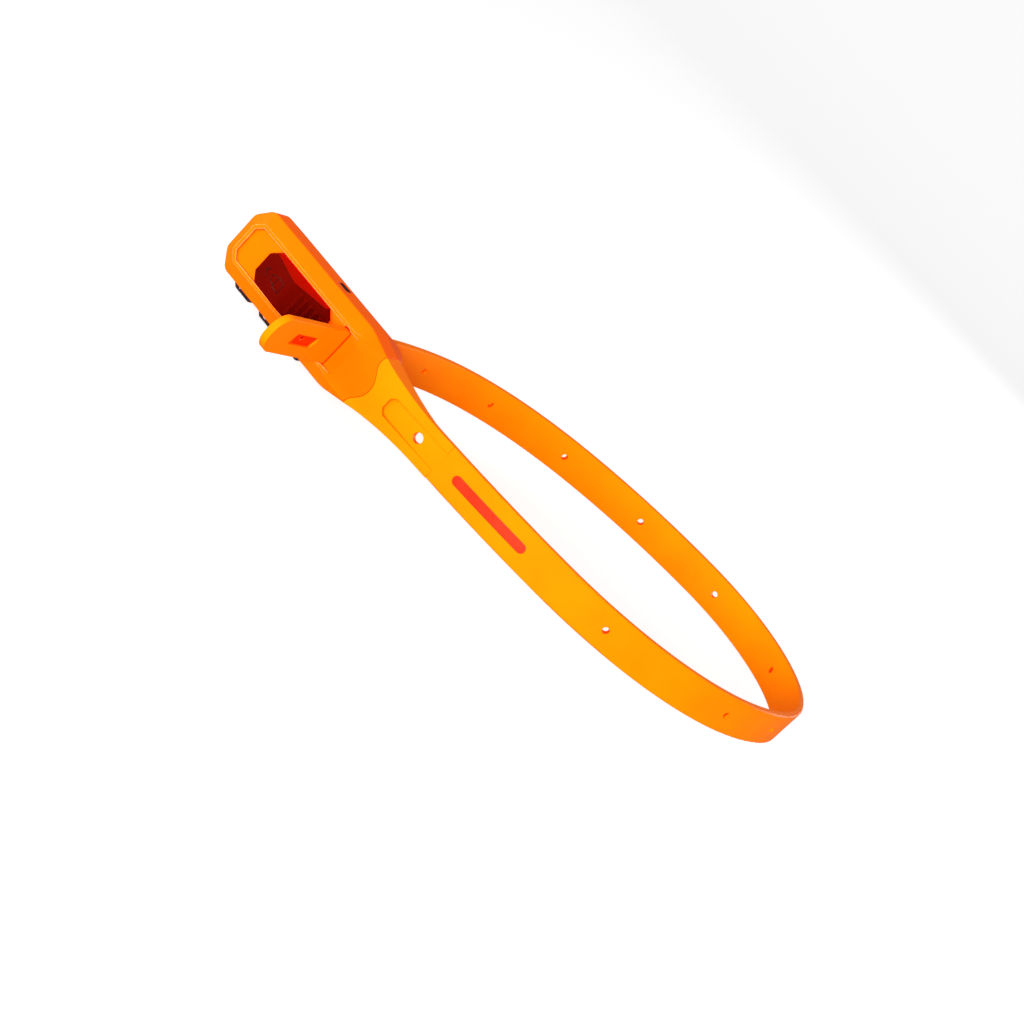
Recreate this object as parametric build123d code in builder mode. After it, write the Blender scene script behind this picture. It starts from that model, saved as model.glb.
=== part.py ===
from build123d import *
from math import cos, radians, sin, tan
import os

# Lockable strap tie: a long head with a three-dial combination lock, and one flat strap that is
# pinned into the head's neck, runs round in a loop, and passes back through the head.
#
# Millimetres.  X runs along the head, from its closed end towards the loop.  Y runs from the
# head's front (slider side, -Y) to its back.  Z is the strap's width.  The head is drawn about
# its own point (middle of the middle dial, back face, mid-width) and every finished piece is
# moved by ROW, which puts the origin under the middle of the whole object's box.

# ---- driving dimensions ----------------------------------------------------------------------
STRAP_WIDTH = 11.0
STRAP_THICK = 2.0
STRAP_EDGE = 0.4
CORE_WIDTH = 7.6
CORE_THICK = 0.5

SLOT_X = 20.4            # the strap's mid-plane where it leaves the head's front
TONGUE_LEAN = 1.7        # degrees the straight end leans away from the loop
TIP_Y = -48.6            # end of the strap's free tip
TIP_CORNER_R = 5.0
BEND_START_Y = 2.4       # where the straight end stops and the loop begins
# Radius and angle of each bend of the loop, in order from the head's back.
LOOP_BENDS = [
    (170.0, 9.4),
    (95.0, 38.6),
    (120.0, 24.5),
    (41.3, 112.0),
    (78.0, 66.2),
    (248.0, 12.5),
]
NECK_RUN = 20.0          # straight run from the last bend into the head

HOLE_PITCH = 30.85       # locking holes along the strap
TIP_HOLE_Y = -33.6
LOCKED_HOLE_Y = TIP_HOLE_Y + HOLE_PITCH
NEAR_HOLES = [262.7, 287.2, 332.1]     # single holes of the near run, from the tip hole
HOLE_R = 0.95

HEAD_TOP_X = -21.2
HEAD_HALF = 10.2
FRONT_Y = -18.0          # the raised rim's face
BEVEL_Y = -16.0          # foot of the bevel round the rim
PARTING_Y = -9.6         # the two covers meet here, on the dials' axis
PANEL_Y = -17.5          # recessed panel inside the rim
BACK_WALL = 1.6
SEAM_GAP = 0.12

DIAL_R = 6.15
DIAL_WIDTH = 5.4
DIAL_PITCH = 10.5
DIAL_Z = -6.8
DIAL_X = [-11.1 + DIAL_PITCH * i for i in range(3)]
DIAL_DIGITS = 10
HUB_R = 2.6
HUB_LENGTH = 8.4
SHAFT_R = 1.25
RUN_CLEAR = 0.06         # radial clearance of each running fit

TRAVEL = 2.4             # the slider's stroke towards the head's closed end
SLIDER_X = (-9.5, 15.0)
SLIDER_HALF = 5.4
SLIDER_BASE_Y = PANEL_Y - 0.1
RIDGE_X = 3.0
RIDGE_Y = -22.6
RIBS = 5
BRIDGE_X = (16.7, 17.9)
BOLT_R = 0.8

RESET_X = 9.1
RESET_Y = -11.6
RESET_HALF_X = 1.75
RESET_HALF_Y = 1.45
RESET_FACE_Z = 10.05      # the button's face, just under the side wall's

ROW = Location((-66.587, -31.078, 12.9215))

os.makedirs("parts", exist_ok=True)


def save(builder, name):
    """Move a finished piece into the row's frame, label it and write it."""
    piece = builder.part.moved(ROW)
    piece.label = name
    export_step(piece, f"parts/{name}.step")


# ---- the strap's path ------------------------------------------------------------------------
def tongue_x(y):
    """The strap's mid-plane along its straight end."""
    return SLOT_X + (y - FRONT_Y) * tan(radians(TONGUE_LEAN))


def chain(side, tip_y=TIP_Y, neck_run=NECK_RUN):
    """Plan line of the strap, `side` outside the loop's centreline, from its tip to the neck."""
    across = Vector(-cos(radians(TONGUE_LEAN)), sin(radians(TONGUE_LEAN)))
    start = Vector(tongue_x(tip_y), tip_y) + side * across
    end = Vector(tongue_x(BEND_START_Y), BEND_START_Y) + side * across
    edges = [Line(start, end)]
    for radius, angle in LOOP_BENDS:
        edges.append(JernArc(edges[-1] @ 1, edges[-1] % 1, radius + side, -angle))
    end = edges[-1] @ 1
    edges.append(Line(end, end + neck_run * (edges[-1] % 1)))
    return edges


def band(inner, outer, width, tip_y=TIP_Y, neck_run=NECK_RUN):
    """A ribbon that follows the strap between two offsets, centred on its mid-plane."""
    with BuildPart() as ribbon:
        with BuildSketch(Plane.XY.offset(-width / 2)):
            with BuildLine():
                near = chain(inner, tip_y, neck_run)
                far = chain(outer, tip_y, neck_run)
                Line(near[0] @ 0, far[0] @ 0)
                Line(near[-1] @ 1, far[-1] @ 1)
            make_face()
        extrude(amount=width)
    return ribbon.part


with BuildLine() as path:
    chain(0)
path_wire = path.wires()[0]
TIP_TO_HOLE = TIP_HOLE_Y - TIP_Y


def path_plane(distance):
    """Plane across the strap's face, `distance` along it from the tip hole, facing outwards."""
    share = (distance + TIP_TO_HOLE) / path_wire.length
    along = path_wire % share
    return Plane(path_wire @ share, x_dir=along, z_dir=Vector(-along.Y, along.X, 0))


# ---- the head's outer form -------------------------------------------------------------------
def outline(points):
    """Closed head outline from its upper half, given as (x, z) pairs."""
    return [(x, z) for x, z in points] + [(x, -z) for x, z in reversed(points)]


RIM_HALF = [(24.5, 6.6), (-16.0, 6.6), (-18.5, 4.2)]
FULL_HALF = [(24.5, HEAD_HALF), (-17.6, HEAD_HALF), (HEAD_TOP_X, 5.6)]
BACK_HALF = [(24.5, 7.4), (-16.2, 7.4), (-18.8, 4.6)]
NECK_HALF_AT_SEAM = 7.6
NECK_TAPER_X = 55.0      # the neck is down to the strap's width here
NECK_END_X = 60.0        # and down to its thickness here


def head_plane(y):
    """Plane across the head at height y, with local x along the head and local y along Z."""
    return Plane((0, y, 0), x_dir=(1, 0, 0), z_dir=(0, -1, 0))


def head_sketch(half, y, corner):
    """Straight-sided head outline at height y, its end corners rounded by `corner`."""
    tail = (34.5, half[0][1] * NECK_HALF_AT_SEAM / HEAD_HALF)
    radii = [14, corner, corner, corner, corner, 14]
    with BuildSketch(head_plane(y)) as sketch:
        with BuildLine():
            side = FilletPolyline(*outline([tail] + half), radius=radii)
            Line(side @ 0, side @ 1)
        make_face()
    return sketch.sketch


with BuildPart() as envelope:
    loft([head_sketch(RIM_HALF, FRONT_Y, 1.4), head_sketch(FULL_HALF, BEVEL_Y, 2.7)], ruled=True)
    loft([head_sketch(FULL_HALF, BEVEL_Y, 2.7), head_sketch(FULL_HALF, PARTING_Y, 2.7)], ruled=True)
    loft([head_sketch(FULL_HALF, PARTING_Y, 2.7), head_sketch(BACK_HALF, 0, 1.6)], ruled=True)
    with BuildSketch(head_plane(PARTING_Y + 1.5)):
        with BuildLine():
            top = Spline(
                (34.0, NECK_HALF_AT_SEAM + 0.1),
                (NECK_TAPER_X, STRAP_WIDTH / 2),
                tangents=[(1, -0.22), (1, 0)],
            )
            bottom = Spline(
                (34.0, -NECK_HALF_AT_SEAM - 0.1),
                (NECK_TAPER_X, -STRAP_WIDTH / 2),
                tangents=[(1, 0.22), (1, 0)],
            )
            Line(top @ 0, bottom @ 0)
            Polyline(
                top @ 1,
                (NECK_END_X, STRAP_WIDTH / 2),
                (NECK_END_X, -STRAP_WIDTH / 2),
                bottom @ 1,
            )
        make_face()
    extrude(amount=9)
    # The front slopes down to the strap's face and the back rises to it.
    with BuildSketch(Plane.XY.offset(-15)):
        Polygon(
            (22.5, FRONT_Y),
            (34.5, -15.7),
            (NECK_END_X, -12.05),
            (70, -11),
            (70, -30),
            (22.5, -30),
            align=None,
        )
        Polygon(
            (27.5, 0),
            (34.0, -8.8),
            (52.0, -11.25),
            (70, -10),
            (70, 10),
            (27.5, 10),
            align=None,
        )
    extrude(amount=30, mode=Mode.SUBTRACT)


def beyond_seam(gap):
    """Everything on the strap's side of the curved seam, `gap` away from it."""
    with BuildPart() as region:
        with BuildSketch(head_plane(5)):
            with BuildLine():
                seam = Spline(
                    (33.8 + gap, 11.5),
                    (32.4 + gap, 8.4),
                    (32.0 + gap, 5.6),
                    (33.9 + gap, 2.2),
                    (34.8 + gap, -1.0),
                    (33.9 + gap, -4.2),
                    (32.2 + gap, -6.6),
                    (31.9 + gap, -8.6),
                    (31.0 + gap, -11.5),
                )
                Polyline(seam @ 0, (80, 11.5), (80, -11.5), seam @ 1)
            make_face()
        extrude(amount=30)
    return region.part


# ---- cavities and seats cut from both covers ---------------------------------------------------
SCREWS = [(-17.0, 4.8), (-17.4, -2.6), (24.9, 5.0), (24.9, -5.0)]
SCREW_R = 0.8
SCREW_HEAD_R = 1.4
PINS = [(28.5, 3.2), (28.5, -3.2)]
PIN_R = 1.0


def box(x, y, z, mode=Mode.ADD):
    """Box from its three spans."""
    with Locations(((x[0] + x[1]) / 2, (y[0] + y[1]) / 2, (z[0] + z[1]) / 2)):
        Box(x[1] - x[0], y[1] - y[0], z[1] - z[0], mode=mode)


def rod(radius, x, y, z, mode=Mode.ADD):
    """Round bar along X."""
    with Locations(((x[0] + x[1]) / 2, y, z)):
        Cylinder(radius, x[1] - x[0], rotation=(0, 90, 0), mode=mode)


def stud(radius, x, y, z, mode=Mode.ADD):
    """Round bar along Y."""
    with Locations((x, (y[0] + y[1]) / 2, z)):
        Cylinder(radius, y[1] - y[0], rotation=(90, 0, 0), mode=mode)


GUIDE_X = (18.0, 23.3)
GUIDE_Y = (-15.9, -BACK_WALL)
GUIDE_HALF = 7.3
THROAT_X = (SLOT_X - 1.35, SLOT_X + 1.3)
THROAT_HALF = 6.0
MOUTH_X = (THROAT_X[0] - 0.4, THROAT_X[1] + 1.2)     # the throat's wider mouth in the back
MOUTH_DEPTH = 0.9
RIB_X = [(-16.2, DIAL_X[0] - 3.0)]
RIB_X += [(DIAL_X[i] + 3.0, DIAL_X[i + 1] - 3.0) for i in (0, 1)]
RIB_X += [(DIAL_X[2] + 3.0, 13.6)]
RIB_INNER_Z = -0.2

# The room inside, following the outer form a wall's thickness in.
CEILING_Y = -15.7
ROOM_FULL = [(GUIDE_X[0], 8.7), (-16.9, 8.7), (-19.7, 5.1)]
ROOM_BACK = [(GUIDE_X[0], 6.4), (-15.8, 6.4), (-17.7, 4.3)]


def room_sketch(half, y):
    """Outline of the room inside the head at height y."""
    with BuildSketch(head_plane(y)) as sketch:
        Polygon(*outline(half), align=None)
    return sketch.sketch


with BuildPart() as hollow:
    loft([room_sketch(ROOM_FULL, CEILING_Y), room_sketch(ROOM_FULL, PARTING_Y)], ruled=True)
    loft([room_sketch(ROOM_FULL, PARTING_Y), room_sketch(ROOM_BACK, -BACK_WALL)], ruled=True)

with BuildPart() as passages:
    box(GUIDE_X, GUIDE_Y, (-GUIDE_HALF, GUIDE_HALF))
    with BuildSketch(head_plane(FRONT_Y - 5)):
        with BuildLine():
            FilletPolyline(
                (THROAT_X[0], THROAT_HALF),
                (THROAT_X[1] - 0.9, THROAT_HALF),
                (THROAT_X[1], THROAT_HALF - 1.4),
                (THROAT_X[1], 1.4 - THROAT_HALF),
                (THROAT_X[1] - 0.9, -THROAT_HALF),
                (THROAT_X[0], -THROAT_HALF),
                radius=0.4,
                close=True,
            )
        make_face()
    extrude(amount=-30)
    box(MOUTH_X, (-MOUTH_DEPTH, 1), (-THROAT_HALF - 0.4, THROAT_HALF + 0.4))
    for dial_x in DIAL_X:
        rod(DIAL_R + 0.3, (dial_x - 2.9, dial_x + 2.9), PARTING_Y, DIAL_Z)
    for x, z in SCREWS:
        stud(SCREW_R, x, (-14.6, 1), z)
        stud(SCREW_HEAD_R, x, (-1.5, 1), z)
    for x, z in PINS:
        stud(PIN_R, x, (-15.0, -9.5), z)

with BuildPart() as shaft_bores:
    rod(HUB_R + RUN_CLEAR, (-15.9, 14.6), PARTING_Y, DIAL_Z)
    rod(SHAFT_R + 0.2, (-18.9, GUIDE_X[0]), PARTING_Y, DIAL_Z)

with BuildPart() as bosses:
    for x, z in SCREWS[:2]:
        stud(2.1, x, (CEILING_Y, -BACK_WALL + 0.1), z)
    for span in RIB_X:
        box(span, (CEILING_Y, -BACK_WALL + 0.1), (-HEAD_HALF, RIB_INNER_Z))
    add(envelope.part, mode=Mode.INTERSECT)

tenon = band(-1.04, 1.04, STRAP_WIDTH + 0.1, BEND_START_Y - 30, NECK_RUN + 1)


def cover(front):
    """One half of the housing, cut from the head's outer form at the parting plane."""
    with BuildPart() as half:
        add(envelope.part)
        add(beyond_seam(0), mode=Mode.SUBTRACT)
        add(hollow.part, mode=Mode.SUBTRACT)
        add(bosses.part)
        add(passages.part, mode=Mode.SUBTRACT)
        add(shaft_bores.part, mode=Mode.SUBTRACT)
        add(tenon, mode=Mode.SUBTRACT)
        side = Keep.TOP if front else Keep.BOTTOM
        split(bisect_by=head_plane(PARTING_Y), keep=side)
    return half


with BuildPart() as front_cover:
    add(cover(True).part)
    # Recessed panel inside the raised rim.
    with BuildSketch(head_plane(FRONT_Y - 1)):
        Polygon(*outline([(26, 5.7), (-15.6, 5.7), (-17.5, 3.7)]), align=None)
    extrude(amount=-(1 + PANEL_Y - FRONT_Y), mode=Mode.SUBTRACT)
    # Slot under the slider for its stem.
    box((-1.4 - TRAVEL, 7.4), (-19, -15), (-0.15, 4.15), mode=Mode.SUBTRACT)
    # Reset window in the upper side wall, with soft corners.
    with BuildSketch(Plane.XY.offset(6)):
        with Locations((RESET_X, RESET_Y)):
            RectangleRounded(2 * RESET_HALF_X + 0.3, 2 * RESET_HALF_Y + 0.3, 0.8)
    extrude(amount=5, mode=Mode.SUBTRACT)

with BuildPart() as rear_cover:
    add(cover(False).part)

with BuildPart() as strap_guide:
    box(GUIDE_X, GUIDE_Y, (-GUIDE_HALF, GUIDE_HALF))
    box((THROAT_X[0], THROAT_X[1] + 0.6), (-17, 0), (-THROAT_HALF, THROAT_HALF), mode=Mode.SUBTRACT)
    rod(BOLT_R + 0.1, (17, 20), LOCKED_HOLE_Y, 0, mode=Mode.SUBTRACT)

# ---- slider and what moves with it -------------------------------------------------------------
SLOPE_RUN = SLIDER_X[1] - RIDGE_X
SLIDER_TOP_Y = -18.9
SLIDER_FOOT_Y = -18.3
SLOPE = (SLIDER_FOOT_Y - RIDGE_Y - 0.4) / SLOPE_RUN

with BuildPart() as release_slider:
    with BuildSketch(head_plane(SLIDER_BASE_Y)):
        Polygon(
            (SLIDER_X[0], 3.0),
            (SLIDER_X[0] + 2.4, SLIDER_HALF),
            (SLIDER_X[1] - 2.2, SLIDER_HALF),
            (SLIDER_X[1], 3.4),
            (SLIDER_X[1], -3.4),
            (SLIDER_X[1] - 2.2, -SLIDER_HALF),
            (SLIDER_X[0] + 2.4, -SLIDER_HALF),
            (SLIDER_X[0], -3.0),
            align=None,
        )
    extrude(amount=5.6, taper=13)
    with BuildSketch(Plane.XY.offset(-8)):
        Polygon(
            (SLIDER_X[0] - 1, SLIDER_TOP_Y + 0.3),
            (RIDGE_X - 0.6, RIDGE_Y + 0.05),
            (RIDGE_X + 0.4, RIDGE_Y),
            (RIDGE_X + 1.4, RIDGE_Y + 0.4),
            (SLIDER_X[1] + 1, SLIDER_FOOT_Y + SLOPE),
            (SLIDER_X[1] + 1, -30),
            (SLIDER_X[0] - 1, -30),
            align=None,
        )
    extrude(amount=16, mode=Mode.SUBTRACT)
    # Grip ribs across the long slope.
    for i in range(RIBS):
        x = RIDGE_X + 3.3 + 1.75 * i
        y = RIDGE_Y + 0.4 + SLOPE * (x - RIDGE_X - 1.4)
        half = 3.3 - 0.25 * i
        box((x - 0.42, x + 0.42), (y - 0.34, y + 0.6), (-half, half))
    # Stem through the panel, drilled for its screw.
    box((-1.2, 7.2), (SLIDER_BASE_Y - 0.3, -15.2), (0, 4.0))
    stud(0.8, 3.0, (-19.5, -15.0), 2.0, mode=Mode.SUBTRACT)

with BuildPart() as slider_carriage:
    box((-6.0, BRIDGE_X[1]), (-15.2, -13.4), (-0.1, 5.2))
    box(BRIDGE_X, (-15.2, -1.8), (-5.2, 5.2))
    box(BRIDGE_X, (-11.2, -8.0), (DIAL_Z, -5.0))
    rod(1.75, BRIDGE_X, PARTING_Y, DIAL_Z)
    box((-6.0, -4.4), (-15.2, -4.4), (2.2, 6.8))
    rod(BOLT_R, (14, 18), LOCKED_HOLE_Y, 0, mode=Mode.SUBTRACT)
    rod(SHAFT_R, (14, 18), PARTING_Y, DIAL_Z, mode=Mode.SUBTRACT)
    stud(0.8, 3.0, (-16, -12), 2.0, mode=Mode.SUBTRACT)

with BuildPart() as slider_screw:
    stud(0.8, 3.0, (-19.2, -13.4), 2.0)
    stud(1.5, 3.0, (-13.4, -12.6), 2.0)
    box((1.9, 4.1), (-12.9, -12.5), (1.8, 2.2), mode=Mode.SUBTRACT)

with BuildPart() as locking_bolt:
    rod(BOLT_R, (16.0, tongue_x(LOCKED_HOLE_Y) + 0.5), LOCKED_HOLE_Y, 0)
    rod(1.05, (16.1, BRIDGE_X[0]), LOCKED_HOLE_Y, 0)
    chamfer(locking_bolt.edges().sort_by(Axis.X)[-1], 0.3)

TOOTH_X = [dial_x + DIAL_PITCH / 2 for dial_x in DIAL_X]

with BuildPart() as code_shaft:
    rod(SHAFT_R, (-15.2, BRIDGE_X[1]), PARTING_Y, DIAL_Z)
    for x in TOOTH_X:
        box((x - 0.55, x + 0.55), (PARTING_Y - 0.35, PARTING_Y + 0.35), (DIAL_Z, DIAL_Z + 2.0))


def coil(start, direction, radius, wire, pitch, length):
    """Round-wire compression spring standing on `start`."""
    with BuildPart() as spring:
        with BuildLine() as turn:
            Helix(pitch, length, radius, center=start, direction=direction)
        with BuildSketch(Plane(turn.line @ 0, z_dir=turn.line % 0)):
            Circle(wire / 2)
        sweep(path=turn.line, is_frenet=True)
    return spring


return_spring = coil((-14.6, -7.2, 4.8), (1, 0, 0), 1.6, 0.45, 1.3, 8.2)

# ---- dials -------------------------------------------------------------------------------------
dials = []
cams = []
for dial_x in DIAL_X:
    dial_plane = Plane((dial_x - DIAL_WIDTH / 2, PARTING_Y, DIAL_Z), x_dir=(0, 1, 0), z_dir=(1, 0, 0))
    with BuildPart() as dial:
        with BuildSketch(dial_plane):
            Circle(DIAL_R)
            Circle(HUB_R, mode=Mode.SUBTRACT)
            # Finger notches between the numbers.
            with PolarLocations(DIAL_R + 0.15, DIAL_DIGITS, start_angle=18):
                Circle(0.62, mode=Mode.SUBTRACT)
        extrude(amount=DIAL_WIDTH)
        arcs = dial.edges().filter_by(GeomType.CIRCLE)
        chamfer(arcs.filter_by(lambda arc: abs(arc.radius - DIAL_R) < 0.01), 0.35)
    with BuildPart() as cam:
        with BuildSketch(dial_plane.offset((DIAL_WIDTH - HUB_LENGTH) / 2)):
            Circle(HUB_R)
            Circle(SHAFT_R + RUN_CLEAR, mode=Mode.SUBTRACT)
            Rectangle(0.95, 4.4, mode=Mode.SUBTRACT)
        extrude(amount=HUB_LENGTH)
    dials.append(dial)
    cams.append(cam)

with BuildPart() as detent_comb:
    box((RIB_X[0][0], RIB_X[-1][1]), (-9.4, -2.2), (RIB_INNER_Z, RIB_INNER_Z + 0.25))
    for dial_x in DIAL_X:
        for side in (-1.4, 1.4):
            box((dial_x + side - 0.3, dial_x + side + 0.3), (-10, -3.6), (-1, 1), mode=Mode.SUBTRACT)

# ---- reset button ------------------------------------------------------------------------------
with BuildPart() as reset_button:
    with BuildSketch(Plane.XY.offset(7.6)):
        with Locations((RESET_X, RESET_Y)):
            RectangleRounded(2 * RESET_HALF_X, 2 * RESET_HALF_Y, 0.65)
    extrude(amount=RESET_FACE_Z - 7.6)
    box((RESET_X - 2.5, RESET_X + 2.5), (RESET_Y - RESET_HALF_Y, RESET_Y + RESET_HALF_Y), (7.0, 8.6))

reset_spring = coil((RESET_X, RESET_Y, 5.55), (0, 0, 1), 0.75, 0.25, 0.5, 1.3)

# ---- fasteners ---------------------------------------------------------------------------------
with BuildPart() as housing_screws:
    for x, z in SCREWS:
        stud(SCREW_R, x, (-14.4, -1.4), z)
        stud(SCREW_HEAD_R, x, (-1.5, -0.5), z)
        box((x - 0.9, x + 0.9), (-0.9, 0), (z - 0.2, z + 0.2), mode=Mode.SUBTRACT)
        box((x - 0.2, x + 0.2), (-0.9, 0), (z - 0.9, z + 0.9), mode=Mode.SUBTRACT)

with BuildPart() as anchor_pins:
    for x, z in PINS:
        stud(PIN_R, x, (-14.9, -9.6), z)

# ---- strap -------------------------------------------------------------------------------------
LABEL_FROM = 361.3
LABEL_TO = 384.0
LABEL_WIDTH = 2.8
LABEL_DEPTH = 0.55
TETHER_AT = 398.6
TETHER_R = 1.45
POCKET_WEB = 0.5
CORE_END_Y = -26.0

locking_holes = [HOLE_PITCH * i for i in range(8)] + NEAR_HOLES

with BuildPart() as hole_tools:
    for distance in locking_holes:
        with BuildSketch(path_plane(distance)):
            Circle(HOLE_R)
        extrude(amount=3, both=True)
    with BuildSketch(path_plane(TETHER_AT)):
        Circle(TETHER_R)
    extrude(amount=6, both=True)
    for x, z in PINS:
        stud(PIN_R, x, (-17, -9), z)

with BuildPart() as label_prism:
    with BuildSketch(path_plane((LABEL_FROM + LABEL_TO) / 2)):
        SlotOverall(LABEL_TO - LABEL_FROM + LABEL_WIDTH, LABEL_WIDTH)
    extrude(amount=5, both=True)

with BuildPart() as id_inlay:
    add(band(1 - LABEL_DEPTH, 0.9, LABEL_WIDTH + 1, BEND_START_Y - 5))
    add(label_prism.part, mode=Mode.INTERSECT)

with BuildPart() as label_pocket:
    add(band(1 - LABEL_DEPTH, 1.5, LABEL_WIDTH + 1, BEND_START_Y - 5))
    add(label_prism.part, mode=Mode.INTERSECT)

with BuildPart() as neck_recess:
    with BuildSketch(path_plane(TETHER_AT)):
        with BuildLine():
            FilletPolyline(
                (-24, 2.9),
                (10.6, 2.9),
                (11.9, 1.6),
                (11.9, -1.6),
                (10.6, -2.9),
                (-24, -2.9),
                radius=1.0,
                close=True,
            )
        make_face()
    extrude(amount=8)
    add(band(1.0, 7, STRAP_WIDTH, BEND_START_Y - 5), mode=Mode.INTERSECT)

# Rounded tip: what lies outside the tip's outline is cut away.
with BuildPart() as tip_waste:
    with BuildSketch(Plane.YZ.offset(SLOT_X - 5)):
        with Locations((TIP_Y + 4, 0)):
            Rectangle(12, 14)
        with Locations((TIP_Y + 10, 0)):
            RectangleRounded(20, STRAP_WIDTH, TIP_CORNER_R, mode=Mode.SUBTRACT)
    extrude(amount=10)

# Pocket on both faces of the tip, leaving a thin web round the first hole.
with BuildPart() as tip_pockets:
    for direction in (1, -1):
        with BuildSketch(Plane.YZ.offset(tongue_x(TIP_HOLE_Y) + direction * POCKET_WEB / 2)):
            with BuildLine():
                FilletPolyline(
                    (TIP_HOLE_Y - 6, -1.7),
                    (TIP_HOLE_Y + 4.6, -1.7),
                    (TIP_HOLE_Y + 6, 1.7),
                    (TIP_HOLE_Y - 4.6, 1.7),
                    radius=0.7,
                    close=True,
                )
            make_face()
        extrude(amount=2 * direction)

core = band(-CORE_THICK / 2, CORE_THICK / 2, CORE_WIDTH, CORE_END_Y, NECK_RUN - 1.5)

with BuildPart() as neck:
    add(envelope.part)
    add(beyond_seam(SEAM_GAP), mode=Mode.INTERSECT)
    add(neck_recess.part, mode=Mode.SUBTRACT)

with BuildPart() as strap:
    add(band(-STRAP_THICK / 2, STRAP_THICK / 2, STRAP_WIDTH))
    fillet(strap.faces().filter_by(Axis.Z).edges(), STRAP_EDGE)
    add(tip_waste.part, mode=Mode.SUBTRACT)
    add(neck.part)
    add(tip_pockets.part, mode=Mode.SUBTRACT)
    add(core, mode=Mode.SUBTRACT)
    add(label_pocket.part, mode=Mode.SUBTRACT)
    add(hole_tools.part, mode=Mode.SUBTRACT)

with BuildPart() as strap_core:
    add(core)
    add(hole_tools.part, mode=Mode.SUBTRACT)

# ---- write every piece -------------------------------------------------------------------------
PIECES = {
    "front_cover": front_cover,
    "rear_cover": rear_cover,
    "strap_guide": strap_guide,
    "release_slider": release_slider,
    "slider_carriage": slider_carriage,
    "slider_screw": slider_screw,
    "locking_bolt": locking_bolt,
    "code_shaft": code_shaft,
    "return_spring": return_spring,
    "detent_comb": detent_comb,
    "reset_button": reset_button,
    "reset_spring": reset_spring,
    "housing_screws": housing_screws,
    "anchor_pins": anchor_pins,
    "strap": strap,
    "strap_core": strap_core,
    "id_inlay": id_inlay,
}
for number in range(len(DIAL_X)):
    PIECES[f"dial_{number + 1}"] = dials[number]
    PIECES[f"dial_cam_{number + 1}"] = cams[number]

for name, builder in PIECES.items():
    save(builder, name)

total = Compound(children=[builder.part.moved(ROW) for builder in PIECES.values()])
print("whole box", total.bounding_box())
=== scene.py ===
from math import cos, pi, radians, sin

import bmesh
import bpy
from mathutils import Matrix, Vector
from mathutils.bvhtree import BVHTree


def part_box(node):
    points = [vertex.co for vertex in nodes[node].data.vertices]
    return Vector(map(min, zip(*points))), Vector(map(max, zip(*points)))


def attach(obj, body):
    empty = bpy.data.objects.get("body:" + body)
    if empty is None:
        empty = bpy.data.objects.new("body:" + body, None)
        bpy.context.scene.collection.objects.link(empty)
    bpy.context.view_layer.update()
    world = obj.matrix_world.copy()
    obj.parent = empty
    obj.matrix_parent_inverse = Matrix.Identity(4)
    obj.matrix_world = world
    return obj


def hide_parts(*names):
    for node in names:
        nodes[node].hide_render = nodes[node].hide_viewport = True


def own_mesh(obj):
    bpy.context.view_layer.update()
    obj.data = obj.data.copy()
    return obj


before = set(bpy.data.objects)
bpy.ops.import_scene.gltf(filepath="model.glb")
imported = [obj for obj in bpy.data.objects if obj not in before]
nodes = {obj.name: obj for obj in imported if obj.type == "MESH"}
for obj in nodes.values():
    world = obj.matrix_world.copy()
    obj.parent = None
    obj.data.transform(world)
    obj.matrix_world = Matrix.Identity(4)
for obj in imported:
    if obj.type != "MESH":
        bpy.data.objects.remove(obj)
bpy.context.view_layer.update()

MM = 0.001
WHITE = (1.0, 1.0, 1.0)

scene = bpy.context.scene

# ---- camera ----------------------------------------------------------------------------------
CAMERA_TARGET = Vector((0.0027, -0.0009, 0.0059))
CAMERA_DISTANCE = 0.5621
CAMERA_AZIMUTH = 17.22
CAMERA_ELEVATION = 16.65
CAMERA_ROLL = 45.17
CAMERA_LENS = 74.58
CAMERA_SENSOR = 36


def add_camera():
    """Camera on the object from its front, low and rolled, so the head is at the upper left."""
    azimuth = radians(CAMERA_AZIMUTH)
    elevation = radians(CAMERA_ELEVATION)
    towards = Vector((
        cos(elevation) * sin(azimuth),
        -cos(elevation) * cos(azimuth),
        sin(elevation),
    ))
    camera = bpy.data.objects.new("camera", bpy.data.cameras.new("camera"))
    scene.collection.objects.link(camera)
    upright = towards.to_track_quat("Z", "Y").to_matrix().to_4x4()
    roll = Matrix.Rotation(radians(CAMERA_ROLL), 4, "Z")
    camera.matrix_world = Matrix.Translation(CAMERA_TARGET + CAMERA_DISTANCE * towards) @ upright @ roll
    camera.data.lens = CAMERA_LENS
    camera.data.sensor_width = CAMERA_SENSOR
    camera.data.clip_start = 0.01
    camera.data.clip_end = 50
    scene.camera = camera


# ---- node helpers ----------------------------------------------------------------------------
def material(name):
    """An empty node material: its tree and its Principled shader."""
    made = bpy.data.materials.new(name)
    made.use_nodes = True
    tree = made.node_tree
    tree.nodes.clear()
    output = tree.nodes.new("ShaderNodeOutputMaterial")
    shader = tree.nodes.new("ShaderNodeBsdfPrincipled")
    tree.links.new(shader.outputs["BSDF"], output.inputs["Surface"])
    return made, tree, shader


def node(tree, kind, inputs=(), **settings):
    """Add a node, set its properties, and set or link its inputs."""
    made = tree.nodes.new("ShaderNode" + kind)
    for key, value in settings.items():
        setattr(made, key, value)
    for key, value in dict(inputs).items():
        if isinstance(value, bpy.types.NodeSocket):
            tree.links.new(value, made.inputs[key])
        else:
            made.inputs[key].default_value = value
    return made


def place(tree):
    """Object coordinates, in metres."""
    return node(tree, "TexCoord").outputs["Object"]


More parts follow.
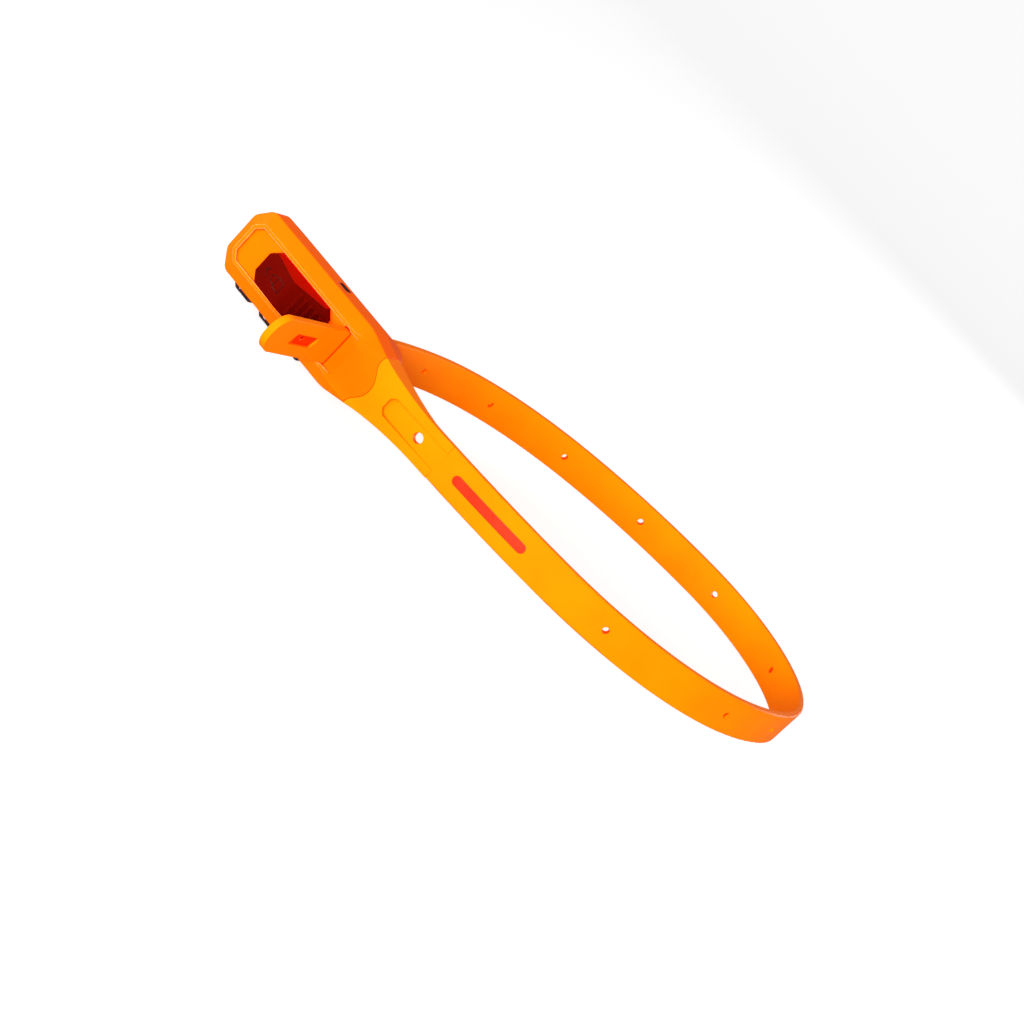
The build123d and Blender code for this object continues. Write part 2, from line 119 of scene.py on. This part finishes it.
def noise(tree, size, detail=3.0, roughness=0.55, stretch=(1, 1, 1)):
    """Noise whose features are about `size` metres across."""
    at = node(tree, "Mapping", {"Vector": place(tree), "Scale": stretch}).outputs["Vector"]
    inputs = {"Vector": at, "Scale": 1 / size, "Detail": detail, "Roughness": roughness}
    return node(tree, "TexNoise", inputs).outputs["Fac"]


def cells(tree, size):
    """Rounded cells about `size` metres across."""
    inputs = {"Vector": place(tree), "Scale": 1 / size}
    return node(tree, "TexVoronoi", inputs, feature="SMOOTH_F1").outputs["Distance"]


def ramp(tree, value, low, high, start, end):
    """`value` from low..high moved to start..end."""
    inputs = {"Value": value, "From Min": low, "From Max": high, "To Min": start, "To Max": end}
    return node(tree, "MapRange", inputs).outputs["Result"]


def blend(tree, share, first, second):
    """Mix of two colours."""
    mix = node(tree, "Mix", data_type="RGBA")
    for socket, value in ((mix.inputs[0], share), (mix.inputs[6], first), (mix.inputs[7], second)):
        if isinstance(value, bpy.types.NodeSocket):
            tree.links.new(value, socket)
        elif isinstance(value, tuple):
            socket.default_value = (*value, 1)
        else:
            socket.default_value = value
    return mix.outputs[2]


def sums(tree, operation, first, second):
    """One step of arithmetic."""
    return node(tree, "Math", {0: first, 1: second}, operation=operation).outputs[0]


# Rays of the bevel and occlusion nodes, and the ranges of their results that count as edge and recess.
SHADER_RAYS = 6
EDGE_TURN = (0.99, 0.90)
RECESS_SHADE_OPENNESS = (0.72, 0.38)


def edges(tree, radius):
    """1 along sharp edges and 0 on the flats, and the normal that rounds the edges off."""
    rounded = node(tree, "Bevel", {"Radius": radius}, samples=SHADER_RAYS).outputs["Normal"]
    straight = node(tree, "NewGeometry").outputs["Normal"]
    same = node(tree, "VectorMath", {0: rounded, 1: straight}, operation="DOT_PRODUCT").outputs["Value"]
    return ramp(tree, same, *EDGE_TURN, 0, 1), rounded


def recess_shade_share(tree, reach):
    """1 deep in slots, seams and pockets, and 0 in the open: where shade is painted into the colour."""
    open_share = node(tree, "AmbientOcclusion", {"Distance": reach}, samples=SHADER_RAYS).outputs["AO"]
    return ramp(tree, open_share, *RECESS_SHADE_OPENNESS, 0, 1)


def bump(tree, height, distance, normal):
    """Normal of a bumped surface."""
    inputs = {"Height": height, "Distance": distance, "Strength": 1.0, "Normal": normal}
    return node(tree, "Bump", inputs).outputs["Normal"]


# ---- materials -------------------------------------------------------------------------------
# Sizes of the plastic's mottling, scuffed edges with painted highlights, shinier patches and recesses
# with painted shade.
MOTTLE_SIZE = 12 * MM
SCUFF_AND_HIGHLIGHT_SIZE = 1.2 * MM
PATCH_SIZE = 4 * MM
RECESS_SHADE_REACH = 1.1 * MM
MOTTLE_RANGE = (0.35, 0.65)
SCUFF_AND_HIGHLIGHT_RANGE = (0.4, 0.62)
SCUFF_AND_HIGHLIGHT_SHARE = (0.45, 0.9)
PATCH_RANGE = (0.3, 0.7)
SCUFF_POLISH = 0.14
PIT_SIZE = 1.6          # in grains
PIT_SHARE = 0.7
# Colour of the painted glow that keeps the orange plastics red in shade.
PAINTED_GLOW_COLOUR = (1, 0.03, 0, 1)


def moulded(name, colour, deep, edge, painted_recess_shade=None, grain=0.00022, relief=0.000006, rough=0.5,
            soft_edge=0.0003, specular=0.35, tint=WHITE, painted_glow=0.0):
    """Injection-moulded plastic: fine spark-eroded grain, faint mottling, and edges coloured partly as
    wear and partly as painted highlight, with optional painted shade in recesses and an optional
    painted glow.
    """
    made, tree, shader = material(name)
    if callable(edge):
        edge = edge(tree)
    edge_share, rounded = edges(tree, soft_edge)
    mottle = noise(tree, MOTTLE_SIZE, 4)
    fine = noise(tree, grain, 2)
    body = blend(tree, ramp(tree, mottle, *MOTTLE_RANGE, 0, 1), colour, deep)
    rubbed_and_lit = ramp(tree, noise(tree, SCUFF_AND_HIGHLIGHT_SIZE, 3), *SCUFF_AND_HIGHLIGHT_RANGE, *SCUFF_AND_HIGHLIGHT_SHARE)
    # Edge colour where the noise lets it through: partly scuffs, partly painted highlight.
    scuffs_and_highlights = sums(tree, "MULTIPLY", edge_share, rubbed_and_lit)
    body = blend(tree, scuffs_and_highlights, body, edge)
    # Painted shade: recesses coloured towards a deep red.
    if painted_recess_shade:
        body = blend(tree, recess_shade_share(tree, RECESS_SHADE_REACH), body, painted_recess_shade)
    tree.links.new(body, shader.inputs["Base Color"])
    patches = ramp(tree, noise(tree, PATCH_SIZE, 4), *PATCH_RANGE, rough - 0.05, rough + 0.06)
    polish = sums(tree, "MULTIPLY", scuffs_and_highlights, SCUFF_POLISH)
    tree.links.new(sums(tree, "SUBTRACT", patches, polish), shader.inputs["Roughness"])
    pits = sums(tree, "MULTIPLY", cells(tree, PIT_SIZE * grain), PIT_SHARE)
    relief_height = sums(tree, "ADD", fine, pits)
    tree.links.new(bump(tree, relief_height, relief, rounded), shader.inputs["Normal"])
    shader.inputs["Specular IOR Level"].default_value = specular
    shader.inputs["Specular Tint"].default_value = (*tint, 1)
    # Painted light: a faint red glow, though the plastic is no lamp.
    if painted_glow:
        shader.inputs["Emission Color"].default_value = PAINTED_GLOW_COLOUR
        shader.inputs["Emission Strength"].default_value = painted_glow
    return made


def overlay(made, share_of, colour):
    """Lay a colour over a material's own where share_of(tree) is 1."""
    tree = made.node_tree
    base = tree.nodes["Principled BSDF"].inputs["Base Color"]
    body = base.links[0].from_socket
    tree.links.new(blend(tree, share_of(tree), body, colour), base)


# Width of the band at the rim's top over which the painted highlight fades in.
RIM_HIGHLIGHT_BAND = 0.4 * MM


def rim_edge_highlight(tree):
    """Edge colour of the covers: a painted highlight, pale yellow along the raised rim and slightly
    redder elsewhere.
    """
    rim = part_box("front_cover")[0].y
    across = node(tree, "SeparateXYZ", {"Vector": place(tree)}).outputs["Y"]
    share = ramp(tree, across, rim + RIM_HIGHLIGHT_BAND, rim + 0.5 * RIM_HIGHLIGHT_BAND, 0, 1)
    return blend(tree, share, (0.95, 0.14, 0.0), (1.0, 0.74, 0.26))


def cover_orange():
    """Hard orange plastic of the two covers, with a painted highlight on the rim, painted shade in
    recesses and a painted red glow.
    """
    return moulded(
        "cover_orange",
        colour=(0.97, 0.168, 0.0),
        deep=(0.95, 0.152, 0.0),
        edge=rim_edge_highlight,
        painted_recess_shade=(0.86, 0.012, 0.0),
        soft_edge=0.0004,
        rough=0.46,
        specular=0.06,
        tint=(1.0, 0.62, 0.18),
        painted_glow=0.32,
    )


# The first locking hole, from the head's closed end and the strap's tip, and its pocket's half size.
TIP_HOLE_X = 41.14 * MM
TIP_HOLE_Y = 15.0 * MM
TONGUE_LEAN = 1.7
POCKET_HALF_Y = 6.4 * MM
POCKET_HALF_Z = 1.85 * MM
# Half thickness of the band on the pocket's floor that gets the painted shade.
POCKET_SHADE_BAND = 0.36 * MM


def pocket_shade_share(tree):
    """1 on the floor of the tip's pocket, where painted shade colours the orange skin deep red."""
    head_low, head_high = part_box("front_cover")
    strap_low, strap_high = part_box("strap")
    hole = (head_low.x + TIP_HOLE_X, strap_low.y + TIP_HOLE_Y, (strap_low.z + strap_high.z) / 2)
    lean = radians(TONGUE_LEAN)
    offset = node(tree, "VectorMath", {0: place(tree), 1: hole}, operation="SUBTRACT").outputs["Vector"]
    share = 1.0
    for axis, half in (
        ((cos(lean), -sin(lean), 0), POCKET_SHADE_BAND),
        ((sin(lean), cos(lean), 0), POCKET_HALF_Y),
        ((0, 0, 1), POCKET_HALF_Z),
    ):
        along = node(tree, "VectorMath", {0: offset, 1: axis}, operation="DOT_PRODUCT").outputs["Value"]
        inside = ramp(tree, sums(tree, "ABSOLUTE", along, 0), 1.05 * half, 0.95 * half, 0, 1)
        share = sums(tree, "MULTIPLY", share, inside)
    return share


def strap_orange():
    """Softer, yellower orange of the strap, matt to the touch, with painted shade in its recesses and
    tip's pocket and a painted red glow.
    """
    made = moulded(
        "strap_orange",
        colour=(0.98, 0.270, 0.0),
        deep=(0.96, 0.246, 0.0),
        edge=(1.0, 0.22, 0.0),
        painted_recess_shade=(0.88, 0.018, 0.0),
        grain=0.0003,
        relief=0.000009,
        soft_edge=0.00025,
        rough=0.58,
        specular=0.10,
        tint=(1.0, 0.62, 0.18),
        painted_glow=0.32,
    )
    # Painted shade: the tip pocket's floor coloured deep red.
    overlay(made, pocket_shade_share, (0.86, 0.02, 0.0))
    return made


# How far a face must turn up or down to get the painted bounce light.
BOUNCE_FLANK_TURN = (0.80, 0.95)


def bounce_flank_share(tree):
    """1 where the surface faces up or down, on the slider's two flanks, where bounce light is painted
    in.
    """
    facing = node(tree, "NewGeometry").outputs["True Normal"]
    sideways = sums(tree, "ABSOLUTE", node(tree, "SeparateXYZ", {"Vector": facing}).outputs["Z"], 0)
    return ramp(tree, sideways, *BOUNCE_FLANK_TURN, 0, 1)


def slider_maroon():
    """Dark red slider, its two flanks painted brighter red as bounce light from the orange housing."""
    made = moulded(
        "slider_maroon",
        colour=(0.125, 0.001, 0.000),
        deep=(0.105, 0.001, 0.000),
        edge=(0.30, 0.006, 0.002),
        grain=0.0002,
        soft_edge=0.00014,
        rough=0.55,
        specular=0.03,
        tint=(1.0, 0.25, 0.12),
    )
    # Painted bounce light: the flanks coloured brighter red.
    overlay(made, bounce_flank_share, (0.46, 0.003, 0.0))
    return made


def dial_black():
    """Near-black dials with a warm cast, polished by fingers at their edges, which are also lighter as
    wear and painted highlight.
    """
    return moulded(
        "dial_black",
        colour=(0.020, 0.004, 0.006),
        deep=(0.013, 0.002, 0.003),
        edge=(0.14, 0.03, 0.03),
        grain=0.00015,
        soft_edge=0.0002,
        rough=0.36,
        specular=0.4,
    )


def reset_dark():
    """Dark plastic of the reset button and the strap guide."""
    return moulded(
        "reset_dark",
        colour=(0.030, 0.002, 0.002),
        deep=(0.020, 0.001, 0.001),
        edge=(0.12, 0.01, 0.01),
        soft_edge=0.00012,
        rough=0.45,
        specular=0.3,
    )


def inlay_red():
    """Smooth red inlay, glossier than the strap round it."""
    return moulded(
        "inlay_red",
        colour=(0.80, 0.032, 0.006),
        deep=(0.74, 0.026, 0.005),
        edge=(1.0, 0.10, 0.02),
        grain=0.0005,
        relief=0.000003,
        soft_edge=0.00015,
        rough=0.30,
        specular=0.5,
        tint=(1.0, 0.55, 0.4),
    )


def hole_wall_shade_red():
    """Red of the strap's steel core, seen only in the walls of its holes: painted shade there, with a
    faint painted glow.
    """
    return moulded(
        "hole_wall_shade_red",
        colour=(0.82, 0.020, 0.0),
        deep=(0.70, 0.014, 0.0),
        edge=(0.95, 0.06, 0.0),
        soft_edge=0.00008,
        rough=0.4,
        specular=0.1,
        tint=(1.0, 0.4, 0.2),
        painted_glow=0.15,
    )


def digit_white():
    """Filled white numbers, slightly uneven where the fill has worn."""
    return moulded(
        "digit_white",
        colour=(0.80, 0.79, 0.77),
        deep=(0.66, 0.63, 0.61),
        edge=(0.5, 0.46, 0.45),
        grain=0.00012,
        relief=0.000004,
        soft_edge=0.00004,
        rough=0.5,
    )


def icon_red():
    """Nearly black red of the symbols' lines on the slider."""
    return moulded(
        "icon_red",
        colour=(0.020, 0.001, 0.001),
        deep=(0.015, 0.001, 0.001),
        edge=(0.10, 0.002, 0.001),
        grain=0.0001,
        soft_edge=0.00005,
        rough=0.35,
        specular=0.3,
        tint=(1.0, 0.3, 0.2),
    )


METAL_EDGE = 0.1 * MM
HAZE_SIZE = 2 * MM
HAZE_RANGE = (0.35, 0.7)
HAZE_ROUGHENS = 0.15
MARK_SIZE = 0.12 * MM
MARK_RELIEF = 0.004 * MM
EDGE_BRIGHTENS = 1.25


def machined(name, colour, dull, rough, stretch):
    """Bare metal with fine tool marks, handling haze and bright edges."""
    made, tree, shader = material(name)
    edge_share, rounded = edges(tree, METAL_EDGE)
    haze = ramp(tree, noise(tree, HAZE_SIZE, 5), *HAZE_RANGE, 0, 1)
    body = blend(tree, haze, colour, dull)
    bright = tuple(min(1, EDGE_BRIGHTENS * part) for part in colour)
    tree.links.new(blend(tree, edge_share, body, bright), shader.inputs["Base Color"])
    tree.links.new(ramp(tree, haze, 0, 1, rough, rough + HAZE_ROUGHENS), shader.inputs["Roughness"])
    marks = noise(tree, MARK_SIZE, 2, stretch=stretch)
    tree.links.new(bump(tree, marks, MARK_RELIEF, rounded), shader.inputs["Normal"])
    shader.inputs["Metallic"].default_value = 1.0
    return made


def steel():
    """Zinc-plated steel of the fasteners, carriage, shaft and bolt."""
    return machined(
        "steel",
        colour=(0.56, 0.57, 0.58),
        dull=(0.38, 0.38, 0.39),
        rough=0.28,
        stretch=(0.15, 1, 1),
    )


def spring_steel():
    """Drawn wire and thin strip, darker and smoother than the plated parts."""
    return machined(
        "spring_steel",
        colour=(0.46, 0.46, 0.47),
        dull=(0.30, 0.29, 0.29),
        rough=0.22,
        stretch=(1, 1, 0.2),
    )


def brass():
    """Brass of the cams."""
    return machined(
        "brass",
        colour=(0.74, 0.52, 0.22),
        dull=(0.55, 0.36, 0.15),
        rough=0.30,
        stretch=(0.2, 1, 1),
    )


FLOOR_SHADE_SIZE = 0.8
FLOOR_LIGHT = (0.50, 0.50, 0.50)
FLOOR_DARK = (0.48, 0.48, 0.48)
FLOOR_GLOW = 0.80


def floor_white():
    """Plain pale studio sweep, faintly lit from within so that it stays even."""
    made, tree, shader = material("floor_white")
    shade = ramp(tree, noise(tree, FLOOR_SHADE_SIZE, 2), 0.3, 0.7, 0, 1)
    tree.links.new(blend(tree, shade, FLOOR_LIGHT, FLOOR_DARK), shader.inputs["Base Color"])
    shader.inputs["Roughness"].default_value = 0.9
    shader.inputs["Specular IOR Level"].default_value = 0.0
    shader.inputs["Emission Color"].default_value = (*WHITE, 1)
    shader.inputs["Emission Strength"].default_value = FLOOR_GLOW
    return made


def paint_nodes():
    """Give every CAD node its material."""
    finishes = {
        cover_orange(): ["front_cover", "rear_cover"],
        strap_orange(): ["strap"],
        slider_maroon(): ["release_slider"],
        dial_black(): ["dial_1", "dial_2", "dial_3"],
        reset_dark(): ["reset_button", "strap_guide"],
        inlay_red(): ["id_inlay"],
        hole_wall_shade_red(): ["strap_core"],
        brass(): ["dial_cam_1", "dial_cam_2", "dial_cam_3"],
        spring_steel(): ["detent_comb", "return_spring", "reset_spring"],
        steel(): [
            "slider_carriage",
            "slider_screw",
            "locking_bolt",
            "code_shaft",
            "housing_screws",
            "anchor_pins",
        ],
    }
    for finish, names in finishes.items():
        for name in names:
            mesh = nodes[name].data
            mesh.materials.clear()
            mesh.materials.append(finish)


# ---- small pieces ----------------------------------------------------------------------------
DIGIT_HEIGHT = 2.0 * MM
DIGIT_RELIEF = 0.04 * MM
DIGIT_SINK = 0.2 * DIGIT_RELIEF
DIGIT_BOLDER = 0.04 * MM
DIGIT_CUTS = 9
DIGITS = 10
FONT_DIGIT_HEIGHT = 0.72      # of a number in Blender's own font, at size 1
SAME_POINT = 1e-7


def mesh_object(name, mesh, finish):
    """Put a mesh in the scene with its material."""
    mesh.materials.clear()
    mesh.materials.append(finish)
    made = bpy.data.objects.new(name, mesh)
    scene.collection.objects.link(made)
    return made


def digit_mesh(text):
    """Flat number, centred on its own middle, cut across so that it can be wrapped."""
    letters = bpy.data.curves.new("digit", "FONT")
    letters.body = text
    letters.size = DIGIT_HEIGHT / FONT_DIGIT_HEIGHT
    letters.extrude = DIGIT_RELIEF / 2
    letters.offset = DIGIT_BOLDER
    letters.resolution_u = 6
    held = bpy.data.objects.new("digit", letters)
    scene.collection.objects.link(held)
    mesh = bpy.data.meshes.new_from_object(held)
    bpy.data.objects.remove(held)
    form = bmesh.new()
    form.from_mesh(mesh)
    bpy.data.meshes.remove(mesh)
    xs = [v.co.x for v in form.verts]
    ys = [v.co.y for v in form.verts]
    middle = Vector(((min(xs) + max(xs)) / 2, (min(ys) + max(ys)) / 2, 0))
    bmesh.ops.translate(form, verts=form.verts, vec=-middle)
    bmesh.ops.remove_doubles(form, verts=form.verts, dist=SAME_POINT)
    for k in range(1, DIGIT_CUTS):
        level = DIGIT_HEIGHT * (k / DIGIT_CUTS - 0.5)
        parts = form.verts[:] + form.edges[:] + form.faces[:]
        bmesh.ops.bisect_plane(form, geom=parts, plane_co=(0, level, 0), plane_no=(0, 1, 0))
    return form


def add_digits(number, finish):
    """The ten numbers wrapped round one dial, read along the head."""
    low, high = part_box(f"dial_{number}")
    across = (low.x + high.x) / 2
    hub_low, hub_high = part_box(f"dial_cam_{number}")
    axis_y = (hub_low.y + hub_high.y) / 2
    axis_z = (hub_low.z + hub_high.z) / 2
    radius = max(high.y - axis_y, high.z - axis_z)
    ring = bmesh.new()
    for value in range(DIGITS):
        form = digit_mesh(str((value + number) % DIGITS))
        turn = 2 * pi * value / DIGITS
        for vertex in form.verts:
            angle = turn - vertex.co.y / radius
            reach = radius + vertex.co.z - DIGIT_SINK
            vertex.co = Vector((
                across + vertex.co.x,
                axis_y + reach * cos(angle),
                axis_z + reach * sin(angle),
            ))
        loose = bpy.data.meshes.new("digit")
        form.to_mesh(loose)
        form.free()
        ring.from_mesh(loose)
        bpy.data.meshes.remove(loose)
    bmesh.ops.recalc_face_normals(ring, faces=ring.faces)
    mesh = bpy.data.meshes.new(f"digits_{number}")
    ring.to_mesh(mesh)
    ring.free()
    made = mesh_object(f"digits_{number}", mesh, finish)
    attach(made, f"wheel_{number}")


# Symbols on the slider, drawn in millimetres on its flat upper part: x along the head, z across it.
ICON_LINE = 0.24 * MM
ICON_STEP = 0.25 * MM
ICON_PLACE = 0.29             # of the slider's length, from its end by the head's closed end
ICON_CLEARANCE = 5 * MM
PADLOCK_BODY = [(0.9, -1.5), (0.9, 1.5), (3.5, 1.5), (3.5, -1.5), (0.9, -1.5)]
SHACKLE_R = 1.0
SHACKLE_FOOT = 0.9
SHACKLE_LEGS_TOP = -0.3
SHACKLE_OPEN_END = 0.1
SHACKLE_STEPS = 12
ARROW = [(-3.0, -1.1), (-4.3, 0.0), (-3.0, 1.1)]


def shackle():
    """Open shackle: one leg reaches the padlock's body, and the other stops short of it."""
    leg = [(SHACKLE_FOOT, -SHACKLE_R), (SHACKLE_LEGS_TOP, -SHACKLE_R)]
    arc = []
    for k in range(SHACKLE_STEPS + 1):
        angle = pi * k / SHACKLE_STEPS
        arc.append((SHACKLE_LEGS_TOP - SHACKLE_R * sin(angle), -SHACKLE_R * cos(angle)))
    return leg + arc + [(SHACKLE_OPEN_END, SHACKLE_R)]


def dense(points):
    """The same line with a point at least every ICON_STEP."""
    line = [Vector((x * MM, z * MM)) for x, z in points]
    filled = []
    for start, end in zip(line, line[1:]):
        count = max(1, round((end - start).length / ICON_STEP))
        filled += [start.lerp(end, k / count) for k in range(count)]
    return filled + [line[-1]]


def add_icon(name, points, finish, tree, middle):
    """One line of a symbol, laid on the slider's face."""
    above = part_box("release_slider")[0].y - ICON_CLEARANCE
    curve = bpy.data.curves.new(name, "CURVE")
    curve.dimensions = "3D"
    curve.bevel_depth = ICON_LINE / 2
    curve.bevel_resolution = 2
    curve.use_fill_caps = True
    line = curve.splines.new("POLY")
    laid = []
    for point in dense(points):
        start = Vector((middle.x + point.x, above, middle.z + point.y))
        laid.append(tree.ray_cast(start, Vector((0, 1, 0)))[0])
    line.points.add(len(laid) - 1)
    for held, where in zip(line.points, laid):
        held.co = (*where, 1)
    made = bpy.data.objects.new(name, curve)
    scene.collection.objects.link(made)
    curve.materials.append(finish)
    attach(made, "slider")


def add_icons(finish):
    """Arrow and open padlock on the slider's upper part."""
    slider = nodes["release_slider"].data
    tree = BVHTree.FromPolygons([v.co for v in slider.vertices], [p.vertices for p in slider.polygons])
    low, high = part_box("release_slider")
    middle = Vector((low.x + ICON_PLACE * (high.x - low.x), 0, (low.z + high.z) / 2))
    add_icon("padlock_body", PADLOCK_BODY, finish, tree, middle)
    add_icon("padlock_shackle", shackle(), finish, tree, middle)
    add_icon("arrow", ARROW, finish, tree, middle)


COIL_POINTS = 24


def add_spring(name, along, turns, wire):
    """Coil in place of a CAD spring."""
    low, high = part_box(name)
    middle = (low + high) / 2
    first, second = [axis for axis in range(3) if axis != along]
    radius = (high[first] - low[first] - wire) / 2
    length = high[along] - low[along] - wire
    curve = bpy.data.curves.new(name, "CURVE")
    curve.dimensions = "3D"
    curve.bevel_depth = wire / 2
    curve.bevel_resolution = 3
    curve.use_fill_caps = True
    line = curve.splines.new("POLY")
    count = round(turns * COIL_POINTS)
    line.points.add(count)
    for k, point in enumerate(line.points):
        angle = 2 * pi * k / COIL_POINTS
        where = Vector((0, 0, 0))
        where[along] = low[along] + wire / 2 + length * k / count
        where[first] = middle[first] + radius * cos(angle)
        where[second] = middle[second] + radius * sin(angle)
        point.co = (*where, 1)
    held = bpy.data.objects.new(name, curve)
    scene.collection.objects.link(held)
    mesh = bpy.data.meshes.new_from_object(held)
    bpy.data.objects.remove(held)
    made = mesh_object(f"coil_{name}", mesh, nodes[name].data.materials[0])
    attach(made, "housing")
    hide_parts(name)
    axis = Vector((0, 0, 0))
    axis[along] = 1
    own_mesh(made)


# ---- stage and light -------------------------------------------------------------------------
SWEEP_FLAT = 1.6
SWEEP_BEND = 0.8
SWEEP_TOP = 2.2
SWEEP_SIDES = 64
SWEEP_STEPS = 12


def add_sweep(finish):
    """Round studio floor that curves up into its own wall; it throws no light back on the object."""
    profile = [(0.0, 0.0), (SWEEP_FLAT, 0.0)]
    for k in range(1, SWEEP_STEPS + 1):
        angle = pi / 2 * k / SWEEP_STEPS
        profile.append((SWEEP_FLAT + SWEEP_BEND * sin(angle), SWEEP_BEND * (1 - cos(angle))))
    profile.append((SWEEP_FLAT + SWEEP_BEND, SWEEP_TOP))
    form = bmesh.new()
    centre = form.verts.new((0, 0, 0))
    rings = []
    for radius, height in profile[1:]:
        turns = [2 * pi * k / SWEEP_SIDES for k in range(SWEEP_SIDES)]
        rings.append([form.verts.new((radius * cos(a), radius * sin(a), height)) for a in turns])
    for k in range(SWEEP_SIDES):
        after = (k + 1) % SWEEP_SIDES
        form.faces.new((centre, rings[0][k], rings[0][after]))
        for inner, outer in zip(rings, rings[1:]):
            form.faces.new((inner[k], outer[k], outer[after], inner[after]))
    for face in form.faces:
        face.smooth = True
    mesh = bpy.data.meshes.new("sweep")
    form.to_mesh(mesh)
    form.free()
    sweep = mesh_object("sweep", mesh, finish)
    sweep.visible_diffuse = False
    sweep.visible_glossy = False


def add_light(name, where, size, power, target=(0, 0, 0)):
    """Soft square light aimed at a point, by default the object's middle."""
    light = bpy.data.lights.new(name, "AREA")
    light.shape = "SQUARE"
    light.size = size
    light.energy = power
    made = bpy.data.objects.new(name, light)
    made.location = where
    made.rotation_euler = (Vector(where) - Vector(target)).to_track_quat("Z", "Y").to_euler()
    made.visible_camera = False
    scene.collection.objects.link(made)


SURROUND = 0.20


def add_lights():
    """Large low key beside the camera, fills from the left and behind, and an even dim surround."""
    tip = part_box("strap")[0].y
    beside_tip = (-0.24, tip - 0.10, 0.06)
    add_light("key", where=(0.45, -1.20, 0.16), size=0.6, power=27.0)
    add_light("side", where=beside_tip, size=0.12, power=0.45, target=(-0.05, tip, 0.01))
    add_light("left", where=(-1.2, -0.45, 0.20), size=0.6, power=0.4)
    add_light("back", where=(0.4, 1.25, 0.20), size=0.6, power=9.0)
    world = bpy.data.worlds.new("surround")
    world.use_nodes = True
    surround = world.node_tree.nodes["Background"]
    surround.inputs["Color"].default_value = (*WHITE, 1)
    surround.inputs["Strength"].default_value = SURROUND
    scene.world = world
    scene.view_settings.view_transform = "Standard"


# ---- build it --------------------------------------------------------------------------------
add_camera()
paint_nodes()
white = digit_white()
for dial in (1, 2, 3):
    add_digits(dial, white)
add_icons(icon_red())
add_spring("return_spring", along=0, turns=6.3, wire=0.45 * MM)
add_spring("reset_spring", along=2, turns=2.6, wire=0.25 * MM)
add_sweep(floor_white())
add_lights()
